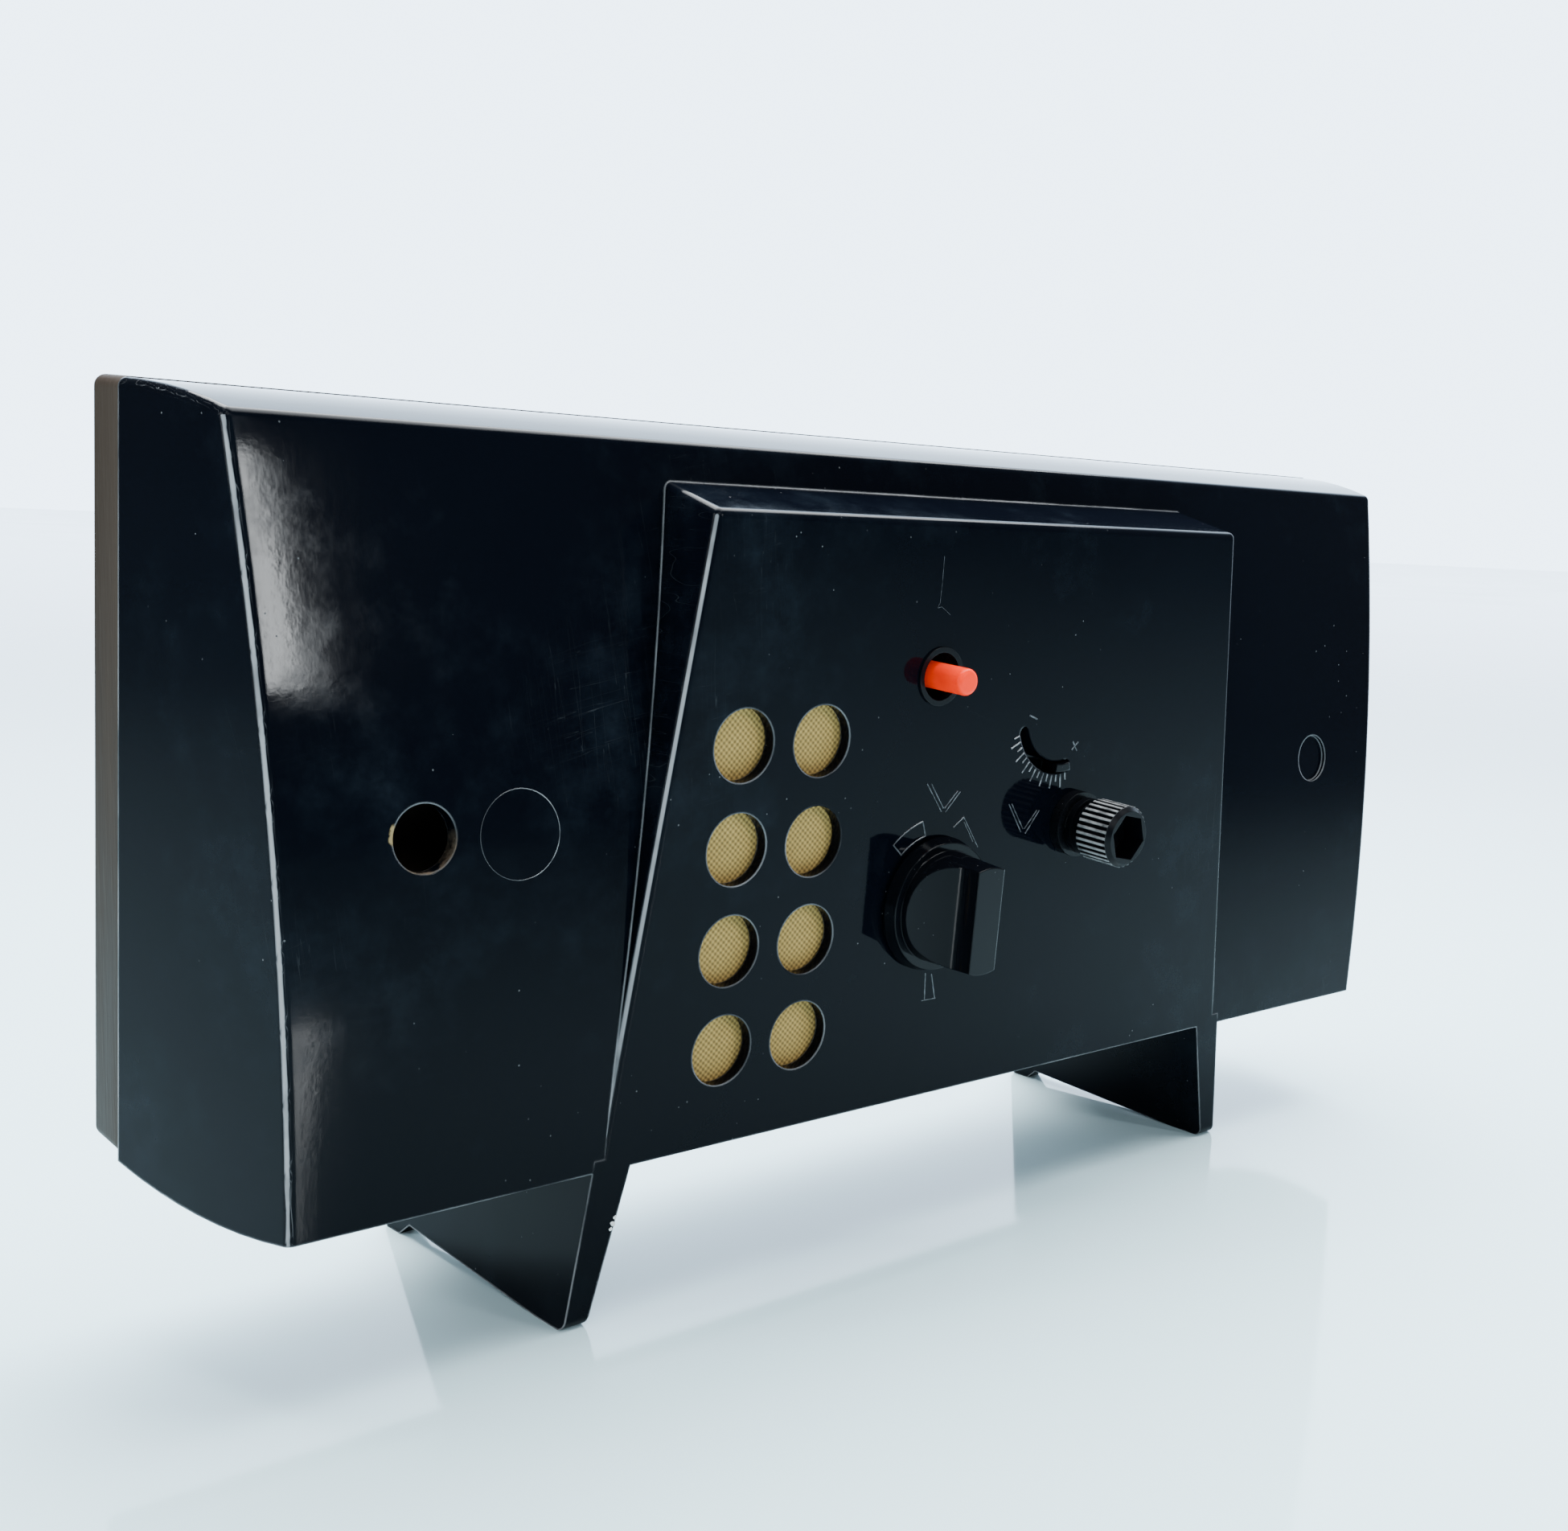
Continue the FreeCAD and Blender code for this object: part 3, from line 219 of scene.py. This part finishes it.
def black_case():
    """Glossy blue-black moulding with polish streaks, haze, faint scratches, dust, edge wear mixed
    with painted edge highlights, and a painted highlight on the arrises facing left-front.
    """
    g = Graph("black_case")
    cloudy = g.noise(9.0, 5.0)
    streaks = g.noise(1.0, 4.0, 0.6, g.scaled((260.0, 260.0, 14.0)))
    patches = g.ramp(g.noise(13.0, 6.0, 0.7), 0.50, 0.72)
    haze = g.times(patches, g.ramp(g.noise(90.0, 5.0, 0.7), 0.40, 0.7))
    marks = g.math("MAXIMUM", scratches(g, 12, 700.0, 0.0), scratches(g, 96, 600.0, 0.02))
    dust = g.times(g.dots(330.0, 0.05), g.ramp(g.noise(30.0), 0.50, 0.60))
    # sharp edges painted pale grey: partly edge wear, partly a painted highlight for the light the
    # rounded arrises reflect
    edges = g.worn_and_highlit_edges(0.55 * MM, 55.0)
    off_slot = g.math("SUBTRACT", 1.0, g.near_point(TRIM, SLOT_REACH, 1.5 * MM))
    edges = g.times(edges, off_slot)
    # arrises facing left-front painted pale: a painted highlight, broken up by noise
    arris = g.facing_way((-0.72, -0.69, 0.0), 0.962, 0.99)
    painted_arris_highlight = g.times(arris, g.ramp(g.noise(70.0, 3.0), 0.25, 0.5))
    edges = g.math("MAXIMUM", edges, painted_arris_highlight)
    base = g.mix(cloudy, (0.0006, 0.0009, 0.0020), (0.0017, 0.0026, 0.0050))
    base = g.mix(g.times(haze, 0.5), base, (0.014, 0.022, 0.031))
    base = g.mix(g.times(marks, 0.35), base, (0.05, 0.055, 0.06))
    base = g.mix(g.times(dust, 0.6), base, (0.14, 0.145, 0.15))
    base = g.mix(g.times(edges, 0.85), base, (0.30, 0.305, 0.32))
    raw = g.near_point(LEAD_LIP, 4.2 * MM, 2.4 * MM)
    raw = g.times(raw, g.near_point(LEAD_HOLE, LEAD_LIP_REACH, 0.12 * MM))
    raw = g.times(raw, g.ramp(g.noise(420.0, 4.0), 0.38, 0.62))
    base = g.mix(raw, base, (0.11, 0.080, 0.055))
    crumbs = g.near_point(LEAD_CRUMBS, 1.3 * MM, 0.5 * MM)
    crumbs = g.times(crumbs, g.ramp(g.noise(900.0, 3.0), 0.42, 0.55))
    crumbs = g.times(crumbs, g.near_point(LEAD_HOLE, LEAD_CRUMBS_REACH, 0.25 * MM))
    base = g.mix(crumbs, base, (0.26, 0.19, 0.09))
    rough = g.ramp(cloudy, 0.3, 0.7, 0.03, 0.06)
    rough = g.math("ADD", rough, g.times(streaks, 0.03))
    rough = g.math("ADD", rough, g.times(haze, 0.22))
    rough = g.math("ADD", rough, g.times(g.math("MAXIMUM", raw, dust), 0.4))
    waviness = g.bump(g.noise(14.0, 2.0), 0.0012, 0.1, g.rounded(0.6 * MM))
    pebbled = g.bump(g.noise(620.0, 2.0), 0.00004, 0.12, waviness)
    normal = g.bump(streaks, 0.00001, 0.35, pebbled)
    return g.finish(Base_Color=base, Roughness=rough, Normal=normal, IOR=1.13)


def knurled():
    """Black knob plastic whose rib crests are painted pale: a painted highlight along the
    knurling.
    """
    g = Graph("knurled_knob")
    foot, crest = VOLUME_RADIUS - 0.15 * MM, VOLUME_RADIUS - 0.03 * MM
    rib = g.ramp(g.from_axis(VOLUME, AXIS), foot, crest)
    mottle_noise = g.ramp(g.noise(300.0, 3.0), 0.30, 0.60)
    # rib crests painted pale grey: painted highlight, broken up by noise
    base = g.mix(g.times(rib, mottle_noise), (0.0015, 0.0018, 0.0028), (0.26, 0.265, 0.27))
    return g.finish(Base_Color=base, Roughness=0.3, Normal=g.rounded(0.12 * MM), IOR=1.17)


def black_gloss(name, tint, rough, radius):
    """Black trim plastic with a little dust, its edges rounded by a radius."""
    g = Graph(name)
    dust = g.times(g.dots(650.0, 0.06), g.ramp(g.noise(120.0), 0.5, 0.6))
    mottle_noise = g.noise(140.0, 5.0)
    base = g.mix(g.times(dust, 0.4), tint, (0.15, 0.15, 0.16))
    roughness = g.ramp(mottle_noise, 0.3, 0.7, rough, rough + 0.08)
    normal = g.bump(mottle_noise, 0.0001, 0.12, g.rounded(radius))
    return g.finish(Base_Color=base, Roughness=roughness, Normal=normal, IOR=1.18)


def cover_plastic():
    """Brown-grey, semi-matte moulding with fine upright streaks."""
    g = Graph("cover_plastic")
    streak = g.noise(1.0, 5.0, 0.6, g.scaled((60.0, 60.0, 9.0)))
    fine = g.noise(1.0, 3.0, 0.6, g.scaled((900.0, 900.0, 70.0)))
    base = g.mix(g.ramp(streak, 0.3, 0.7), (0.020, 0.0132, 0.0092), (0.040, 0.0285, 0.021))
    base = g.mix(g.ramp(fine, 0.55, 0.80, 0.0, 0.35), base, (0.050, 0.038, 0.030))
    normal = g.bump(fine, 0.0002, 0.3, g.rounded(0.4 * MM))
    rough = g.ramp(streak, 0.3, 0.7, 0.42, 0.62)
    return g.finish(Base_Color=base, Roughness=rough, Normal=normal, IOR=1.12)


def woven_cloth():
    """Plain weave: over and under threads along X and Z."""
    g = Graph("woven_cloth")
    pitch = 1.16 * MM
    split = g.add("ShaderNodeSeparateXYZ", Vector=g.place)
    wander = g.times(g.math("SUBTRACT", g.noise(70.0, 2.0), 0.5), 0.35 * MM)
    slant = math.radians(4)
    x, z = split.outputs["X"], split.outputs["Z"]
    across = g.math("ADD", g.times(x, math.cos(slant)), g.times(z, math.sin(slant)))
    along = g.math("SUBTRACT", g.times(z, math.cos(slant)), g.times(x, math.sin(slant)))
    waves = 2 * math.pi / pitch
    u = g.times(g.math("ADD", across, wander), waves)
    v = g.times(g.math("ADD", along, wander), waves)
    check = g.times(g.math("SINE", u), g.math("SINE", v))
    height = g.ramp(check, -1.0, 1.0)
    tone = g.noise(250.0, 4.0)
    # threads painted darker where they dip under: painted shade in the weave's hollows
    low = g.mix(tone, (0.10, 0.058, 0.011), (0.17, 0.098, 0.021))
    high = g.mix(tone, (0.43, 0.270, 0.066), (0.58, 0.375, 0.108))
    base = g.mix(height, low, high)
    return g.finish(Base_Color=base, Roughness=0.85, Normal=g.bump(height, 0.0002, 0.8))


def button_plastic():
    """Orange-red plastic, a little lighter towards its front tip, with a faint painted glow from
    its emission.
    """
    g = Graph("button_plastic")
    depth = g.vectors("DOT_PRODUCT", g.place, AXIS)["Value"]
    panel = TUNING.dot(AXIS)
    forward = g.ramp(depth, panel - 11.0 * MM, panel - 14.0 * MM)
    tone = g.noise(300.0, 3.0)
    base = g.mix(forward, (0.90, 0.024, 0.0004), (0.95, 0.045, 0.004))
    # the emission paints a glow on the button, which holds no lamp
    return g.finish(
        Base_Color=base, Roughness=g.ramp(tone, 0.3, 0.7, 0.25, 0.4), IOR=1.22,
        Subsurface_Weight=0.25, Subsurface_Radius=Vector((0.002, 0.0006, 0.0002)),
        Subsurface_Scale=1.0, Emission_Color=(1.0, 0.03, 0.0), Emission_Strength=0.22)


def plain(name, low, high, rough, metallic=0.0, scale=200.0):
    """Mottled material between two colours, for parts inside and small metal parts."""
    g = Graph(name)
    tone = g.noise(scale, 4.0)
    return g.finish(Base_Color=g.mix(tone, low, high), Metallic=metallic,
                    Roughness=g.ramp(tone, 0.3, 0.7, rough * 0.85, rough * 1.2),
                    Normal=g.bump(tone, 0.0001, 0.15))


def etched(name, low, high):
    """Moulded marks painted lighter than the case with a mottled tone: a painted highlight for the
    light their edges catch.
    """
    g = Graph(name)
    tone = g.ramp(g.noise(900.0, 3.0), 0.4, 0.62)
    return g.finish(Base_Color=g.mix(tone, low, high), Roughness=0.35)


def ring_mark():
    """A pressed ring, painted lighter on its right: a painted highlight along that side."""
    g = Graph("ring_mark")
    split = g.add("ShaderNodeSeparateXYZ", Vector=g.place)
    # right side of the ring painted pale: painted highlight
    side = g.ramp(split.outputs["X"], (RING[0] - 2) * MM, (RING[0] + 6) * MM)
    side = g.times(side, g.ramp(g.noise(260.0, 3.0), 0.30, 0.55))
    base = g.mix(side, (0.008, 0.010, 0.014), (0.24, 0.25, 0.26))
    return g.finish(Base_Color=base, Roughness=0.35)


def chipped_paint():
    """Pale fleck left where an edge was knocked."""
    g = Graph("chipped_paint")
    base = g.mix(g.noise(1500.0, 3.0), (0.62, 0.62, 0.60), (0.80, 0.80, 0.78))
    return g.finish(Base_Color=base, Roughness=0.7)


def floor_gloss():
    """Plain pale floor with a soft gloss."""
    g = Graph("pale_floor")
    tone = g.noise(2.0, 3.0)
    base = g.mix(tone, (0.54, 0.74, 0.80), (0.58, 0.78, 0.84))
    rough = g.ramp(tone, 0.3, 0.7, 0.05, 0.09)
    return g.finish(Base_Color=base, Roughness=rough, IOR=1.45)


METAL = plain("shaft_metal", (0.42, 0.42, 0.41), (0.60, 0.59, 0.57), 0.35, 1.0)
ALUMINIUM = plain("can_metal", (0.55, 0.55, 0.56), (0.72, 0.72, 0.72), 0.3, 1.0)
KNURLED = knurled()

# by the record's material slots
LOOKS = {
    "black_case": black_case(),
    "cover_plastic": cover_plastic(),
    "screw_steel": METAL,
    "speaker_cloth": woven_cloth(),
    "fibre_board": plain("fibre_board", (0.07, 0.045, 0.025), (0.14, 0.09, 0.05),
                         0.85, 0.0, 500.0),
    "pressed_steel": plain("pressed_steel", (0.34, 0.34, 0.33), (0.50, 0.49, 0.47), 0.42, 1.0),
    "paper_cone": plain("paper_cone", (0.05, 0.045, 0.04), (0.09, 0.08, 0.07), 0.9, 0.0, 800.0),
    "ferrite": plain("ferrite", (0.03, 0.03, 0.033), (0.07, 0.07, 0.075), 0.6),
    "black_trim": black_gloss("black_trim", (0.003, 0.0034, 0.0045), 0.22, 0.15 * MM),
    "spring_steel": METAL,
    "button_plastic": button_plastic(),
    "switch_plastic": plain("switch_plastic", (0.022, 0.015, 0.010), (0.045, 0.031, 0.020), 0.5),
    "knob_plastic": black_gloss("knob_plastic", (0.0015, 0.0019, 0.0030), 0.05, 0.35 * MM),
    "shaft_metal": METAL,
    "gear_plastic": plain("gear_plastic", (0.50, 0.47, 0.38), (0.62, 0.58, 0.48), 0.45),
    "vane_metal": ALUMINIUM,
    "board_resin": plain("board_resin", (0.20, 0.11, 0.03), (0.30, 0.17, 0.055),
                         0.45, 0.0, 90.0),
    "can_metal": ALUMINIUM,
    "capacitor_sleeve": plain("capacitor_sleeve", (0.02, 0.06, 0.22), (0.03, 0.10, 0.32), 0.3),
    "coil_copper": plain("coil_copper", (0.30, 0.10, 0.03), (0.50, 0.19, 0.06),
                         0.35, 1.0, 1500.0),
    "cell_sleeve": plain("cell_sleeve", (0.03, 0.03, 0.035), (0.06, 0.06, 0.065), 0.3),
}

slot_of = {part["node"]: part["material_slot"] for part in frame["record"]["subparts"]}
for node, obj in NODES.items():
    obj.data.materials.clear()
    obj.data.materials.append(KNURLED if node == "volume_knob" else LOOKS[slot_of[node]])


# ---------------------------------------------------------------- added pieces

def piece(name, verts, faces, material, body):
    """Mesh piece that rides on a body."""
    mesh = bpy.data.meshes.new(name)
    mesh.from_pydata([tuple(v) for v in verts], [], faces)
    mesh.validate()
    obj = bpy.data.objects.new(name, mesh)
    bpy.context.scene.collection.objects.link(obj)
    obj.data.materials.append(material)
    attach(obj, body)
    return obj


# added marks start this far under the surface, in mm
SUNK = -0.02


def strokes(name, lines, width, rise, place_point, material):
    """Thin raised strokes with sloping sides; place_point maps (x, z, rise) in mm to the frame."""
    overlap, crest = 0.3, 0.5      # parts of the width: past each end, and left at the top
    sides = ((4, 5, 6, 7), (0, 1, 5, 4), (1, 2, 6, 5), (2, 3, 7, 6), (3, 0, 4, 7), (3, 2, 1, 0))
    verts, faces = [], []
    for line in lines:
        points = [Vector((x, z)) for x, z in line]
        for start, end in zip(points, points[1:]):
            along = (end - start).normalized()
            side = Vector((-along.y, along.x)) * width / 2
            start, end = start - along * width * overlap, end + along * width * overlap
            first = len(verts)
            for reach, lift in ((side, SUNK), (side * crest, rise)):
                for corner in (start + reach, end + reach, end - reach, start - reach):
                    verts.append(place_point(corner.x, corner.y, lift))
            faces += [[first + number for number in quad] for quad in sides]
    piece(name, verts, faces, material, "cabinet")


def on_panel(x, z, rise):
    """Point on the control panel's plane."""
    return drawn(x, -rise, z)


def polar(centre, radius, degrees):
    """Point on a circle on the drawing."""
    turn = math.radians(degrees)
    return (centre[0] + radius * math.cos(turn), centre[1] + radius * math.sin(turn))


def grille_cloth():
    """Cloth stretched over the baffle behind the sound holes."""
    corners = [undrawn(vertex.co) for vertex in NODES["speaker_cloth"].data.vertices]
    low = Vector([min(corner[axis] for corner in corners) for axis in range(3)])
    high = Vector([max(corner[axis] for corner in corners) for axis in range(3)])
    columns, rows = 48, 72
    depth, ripple = 0.28, 0.05      # behind the cloth's front, in mm
    verts, faces = [], []
    for row in range(rows + 1):
        for column in range(columns + 1):
            x = low.x + (high.x - low.x) * column / columns
            z = low.z + (high.z - low.z) * row / rows
            sag = depth + ripple * math.sin(x * 0.31) * math.sin(z * 0.27 + 1)
            verts.append(drawn(x, low.y + sag, z))
    wide = columns + 1
    for row in range(rows):
        for column in range(columns):
            first = row * wide + column
            faces.append((first, first + 1, first + wide + 1, first + wide))
    cloth = piece("grille_cloth", verts, faces, LOOKS["speaker_cloth"], "cabinet")
    for polygon in cloth.data.polygons:
        polygon.use_smooth = True
    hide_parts("speaker_cloth")


TICK_MARKS = etched("tick_marks", (0.035, 0.037, 0.042), (0.20, 0.21, 0.225))
MARKS = etched("moulded_marks", (0.012, 0.013, 0.016), (0.085, 0.09, 0.10))
trim_drawn = undrawn(TRIM)
trim = (trim_drawn.x, trim_drawn.z)
knob = (TUNING_DRAWN.x, TUNING_DRAWN.z)

# short and long ticks by turns, round the lever's slot
TICKS, TICKS_FROM, TICKS_TO = 15, -160, -78
TICK_FOOT, SHORT_TICK, LONG_TICK = 12.7, 13.9, 15.2
ticks = []
for number in range(TICKS):
    angle = TICKS_FROM + number * (TICKS_TO - TICKS_FROM) / (TICKS - 1)
    top = LONG_TICK if number % 2 else SHORT_TICK
    ticks.append([polar(trim, TICK_FOOT, angle), polar(trim, top, angle)])
strokes("trim_ticks", ticks, 0.34, 0.12, on_panel, TICK_MARKS)

minus = [[(10.4, 102.0), (12.6, 101.2)]]
plus = [[(23.9, 94.6), (25.5, 96.0)], [(24.0, 96.2), (25.3, 94.4)]]
strokes("trim_end_signs", minus + plus, 0.36, 0.10, on_panel, MARKS)

over_tuning = [[(-15.7, 90.1), (-11.4, 84.6)], [(-14.6, 90.0), (-10.9, 85.2)],
               [(-6.8, 88.0), (-10.2, 84.4)], [(-7.5, 88.2), (-10.5, 85.2)]]
by_volume = [[(7.2, 84.6), (11.4, 78.8)], [(8.0, 84.6), (11.9, 79.4)],
             [(16.1, 82.7), (12.8, 78.4)], [(15.4, 82.8), (12.4, 79.4)]]
beside_tuning = [[(-7.6, 81.2), (-5.1, 83.0), (-0.5, 76.8)], [(-4.9, 82.0), (-2.0, 78.0)]]
under_tuning = [[(-11.3, 52.8), (-10.9, 47.6)], [(-9.6, 52.4), (-8.2, 47.6)],
                [(-11.6, 47.4), (-8.0, 47.4)]]
strokes("panel_pointers", over_tuning + by_volume + beside_tuning + under_tuning, 0.26, 0.10,
        on_panel, MARKS)

BAND_INSIDE, BAND_OUTSIDE = 13.6, 16.6
outer_arc = [polar(knob, BAND_OUTSIDE, angle) for angle in range(133, 104, -4)]
inner_arc = [polar(knob, BAND_INSIDE, angle) for angle in range(104, 134, 4)]
strokes("tuning_band", [outer_arc + inner_arc + outer_arc[:1]], 0.30, 0.10, on_panel, MARKS)

crack = [(-16.9, 132.0), (-16.8, 127.5), (-16.9, 123.6), (-17.4, 122.7), (-16.3, 122.9),
         (-15.3, 122.3), (-14.0, 121.5)]
strokes("hair_scratch", [crack], 0.08, 0.02, on_panel, MARKS)


def face_point(x, z, rise):
    """Point on the leaning face: found by casting a ray at the housing from the front."""
    housing = NODES["front_housing"]
    hit, point, normal, _ = housing.ray_cast(drawn(x, -50, z), AXIS)
    return point + normal * rise * MM if hit else drawn(x, 0, z)


ring = [polar(RING, RING_RADIUS, angle) for angle in range(0, 361, 8)]
strokes("wing_ring", [ring], 0.17, 0.04, face_point, ring_mark())

rng = random.Random(7)


def flecks(name, spots, material):
    """Small ragged flat chips on the panel's plane: centre x, z and size in mm."""
    corners = 9
    crest, shoulder_rise, top_rise = 0.8, 0.06, 0.07
    verts, faces = [], []
    for x, z, reach in spots:
        first = len(verts)
        for number in range(corners):
            radius = reach * rng.uniform(0.55, 1.0)
            spot = polar((x, z), radius, number * 360 / corners)
            verts.append(on_panel(spot[0], spot[1], SUNK))
            verts.append(on_panel(x + (spot[0] - x) * crest, z + (spot[1] - z) * crest,
                                  shoulder_rise))
        verts.append(on_panel(x, z, top_rise))
        for number in range(corners):
            low, high = first + 2 * number, first + 2 * ((number + 1) % corners)
            faces += [(low, high, high + 1, low + 1), (low + 1, high + 1, first + 2 * corners)]
    piece(name, verts, faces, material, "cabinet")


leg_spots = [(-80.35, 18.9, 0.55), (-80.75, 17.9, 0.7), (-81.1, 16.9, 0.5)]
flecks("leg_chip", leg_spots, chipped_paint())


# ---------------------------------------------------------------- stage, light and camera

bpy.ops.mesh.primitive_plane_add(size=40, location=(0, 0, 0))
floor = bpy.context.active_object
floor.name = "floor"
floor.data.materials.append(floor_gloss())


def sky():
    """Bright white room behind the radio on the right, dimmer everywhere else."""
    bright, dim = (4.0, 5.0, 6.1, 1), (0.26, 0.29, 0.32, 1)
    bright_way, dim_up_to, bright_from = (0.76, 0.65, 0), 0.50, 0.84
    world = bpy.data.worlds.new("room")
    bpy.context.scene.world = world
    world.use_nodes = True
    tree = world.node_tree
    back = tree.nodes["Background"]
    place = tree.nodes.new("ShaderNodeTexCoord")
    facing = tree.nodes.new("ShaderNodeVectorMath")
    facing.operation = "DOT_PRODUCT"
    tree.links.new(place.outputs["Generated"], facing.inputs[0])
    facing.inputs[1].default_value = bright_way
    share = tree.nodes.new("ShaderNodeMapRange")
    share.interpolation_type = "SMOOTHSTEP"
    share.inputs["From Min"].default_value = dim_up_to
    share.inputs["From Max"].default_value = bright_from
    tree.links.new(facing.outputs["Value"], share.inputs["Value"])
    colour = tree.nodes.new("ShaderNodeMix")
    colour.data_type = "RGBA"
    colour.clamp_result = False
    colour.inputs[7].default_value = bright
    colour.inputs[6].default_value = dim
    tree.links.new(share.outputs[0], colour.inputs[0])
    tree.links.new(colour.outputs[2], back.inputs["Color"])
    back.inputs["Strength"].default_value = 1.0


sky()


COOL = (0.94, 0.98, 1.0)


def softbox(name, spot, target, width, height, power):
    """Soft rectangular lamp that looks from a spot to a target; metres and watts."""
    data = bpy.data.lights.new(name, "AREA")
    data.shape = "RECTANGLE"
    data.size = width
    data.size_y = height
    data.energy = power
    data.color = COOL
    lamp = bpy.data.objects.new(name, data)
    bpy.context.scene.collection.objects.link(lamp)
    lamp.location = spot
    look = Vector(target) - Vector(spot)
    lamp.rotation_euler = look.to_track_quat("-Z", "Y").to_euler()


softbox("overhead", (0.16, 0.16, 0.80), (0.03, 0.03, 0), 0.9, 0.8, 46)
softbox("front_fill", (-0.5, -1.0, 0.9), (0, 0, 0.05), 0.8, 0.5, 6)
softbox("slim_window", (0.409, -1.2, 0.41), (-0.139, -0.017, 0.128), 0.030, 0.33, 5.2)
for depth in (0.03, 0.20):
    softbox("left_strip", (-0.95, depth, 0.30), (-0.03, -0.04, 0.07), 0.045, 0.60, 4)

# the camera stands low at the left of the controls; its place is on the drawing, in mm,
# and it leans with the radio
CAMERA_AT = (-251.8, -235.8, 152.5)
RIGHT = Vector((0.73791, -0.66913, 0.08809))
DOWN = Vector((-0.081, -0.21738, -0.97272))
AHEAD = Vector((0.67002, 0.71065, -0.2146))
camera_data = bpy.data.cameras.new("camera")
camera_data.lens = 42.03
camera_data.sensor_width = 36
camera_data.shift_x = -0.0537
camera_data.shift_y = 0.0451
camera_data.clip_start = 0.01
camera_data.dof.use_dof = False
camera = bpy.data.objects.new("camera", camera_data)
bpy.context.scene.collection.objects.link(camera)
basis = Matrix((RIGHT, -DOWN, -AHEAD)).transposed().to_4x4()
camera.matrix_world = Matrix.Translation(drawn(*CAMERA_AT)) @ LEAN.to_4x4() @ basis
bpy.context.scene.camera = camera

grille_cloth()
